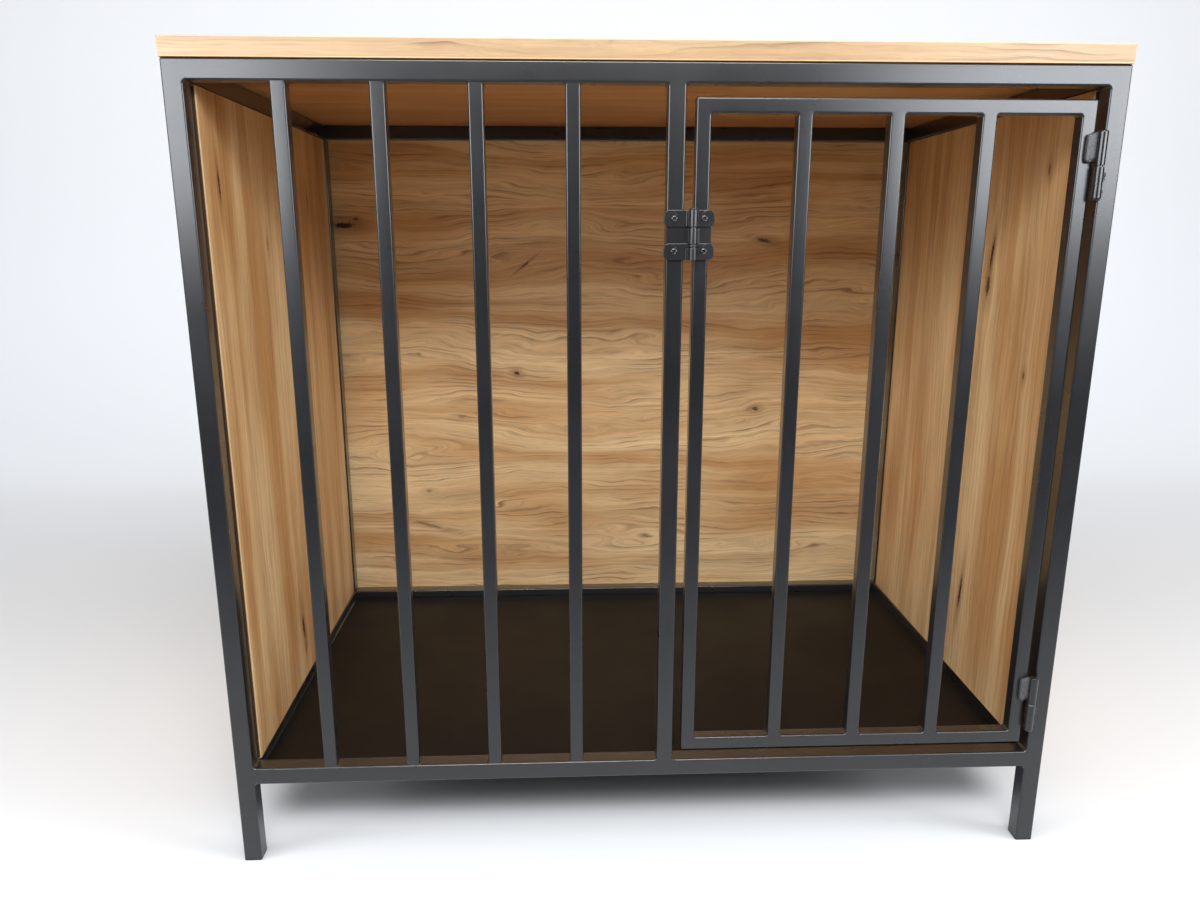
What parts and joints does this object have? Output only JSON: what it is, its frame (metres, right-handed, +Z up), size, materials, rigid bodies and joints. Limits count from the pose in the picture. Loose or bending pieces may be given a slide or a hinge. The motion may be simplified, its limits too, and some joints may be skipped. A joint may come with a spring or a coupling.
{
  "type": "dog crate end table",
  "caption": "Dog crate end table: a welded square-tube frame on legs with wood-look boards, a black floor, vertical bars and a barred swing door with a loose-pin latch.",
  "frame": {"origin": "on the floor under the middle of the whole box, from the latch at the front to the back edge of the tabletop", "axes": "+Z up, +X to the right seen from the front, +Y to the back"},
  "size_m": [0.942, 0.5739, 0.8943],
  "materials": {
    "powder_coat": "satin charcoal powder coat",
    "hardware_black": "semi-gloss black coating",
    "zinc_steel": "zinc-plated",
    "oak_board": "matt oak-look laminate with knots and cracks",
    "black_board": "satin black laminate",
    "black_plastic": "matt black"
  },
  "bodies": {
    "frame": {"post_front_left": "powder_coat", "post_front_right": "powder_coat", "post_rear_left": "powder_coat", "post_rear_right": "powder_coat", "rail_top_front": "powder_coat", "rail_top_rear": "powder_coat", "rail_top_left": "powder_coat", "rail_top_right": "powder_coat", "rail_bottom_front": "powder_coat", "rail_bottom_rear": "powder_coat", "rail_bottom_left": "powder_coat", "rail_bottom_right": "powder_coat", "divider_post": "powder_coat", "fixed_bar_1": "powder_coat", "fixed_bar_2": "powder_coat", "fixed_bar_3": "powder_coat", "fixed_bar_4": "powder_coat", "floor_strap_left": "powder_coat", "floor_strap_right": "powder_coat", "hinge_upper_post_barrel": "hardware_black", "hinge_lower_post_barrel": "hardware_black", "latch_frame_leaf": "hardware_black", "latch_screw_frame_upper": "hardware_black", "latch_screw_frame_lower": "hardware_black", "hinge_upper_pin": "zinc_steel", "hinge_lower_pin": "zinc_steel", "hinge_upper_washer": "zinc_steel", "hinge_lower_washer": "zinc_steel", "tabletop_screw_left_front": "hardware_black", "tabletop_screw_left_rear": "hardware_black", "tabletop_screw_right_front": "hardware_black", "tabletop_screw_right_rear": "hardware_black", "side_panel_screw_left_front": "hardware_black", "side_panel_screw_left_rear": "hardware_black", "side_panel_screw_right_front": "hardware_black", "side_panel_screw_right_rear": "hardware_black", "back_panel_screw_left": "hardware_black", "back_panel_screw_right": "hardware_black", "tabletop": "oak_board", "side_panel_left": "oak_board", "side_panel_right": "oak_board", "back_panel": "oak_board", "floor_panel": "black_board", "foot_cap_front_left": "black_plastic", "foot_cap_front_right": "black_plastic", "foot_cap_rear_left": "black_plastic", "foot_cap_rear_right": "black_plastic"},
    "door": {"door_stile_left": "powder_coat", "door_stile_right": "powder_coat", "door_rail_top": "powder_coat", "door_rail_bottom": "powder_coat", "door_bar_1": "powder_coat", "door_bar_2": "powder_coat", "door_bar_3": "powder_coat", "hinge_upper_door_barrel": "hardware_black", "hinge_lower_door_barrel": "hardware_black", "latch_door_leaf": "hardware_black", "latch_screw_door_upper": "hardware_black", "latch_screw_door_lower": "hardware_black"},
    "latch_pin": {"latch_pin": "hardware_black"}
  },
  "joints": [
    {"name": "door_swing", "type": "hinge", "parent": "frame", "child": "door", "pos_m": [0.445, -0.2803, 0.48], "axis": [0, 0, 1], "range_deg": [0, 180]},
    {"name": "latch_pin_lift", "type": "slide", "parent": "frame", "child": "latch_pin", "axis": [0, 0, 1], "range_m": [0, 0.055]}
  ]
}
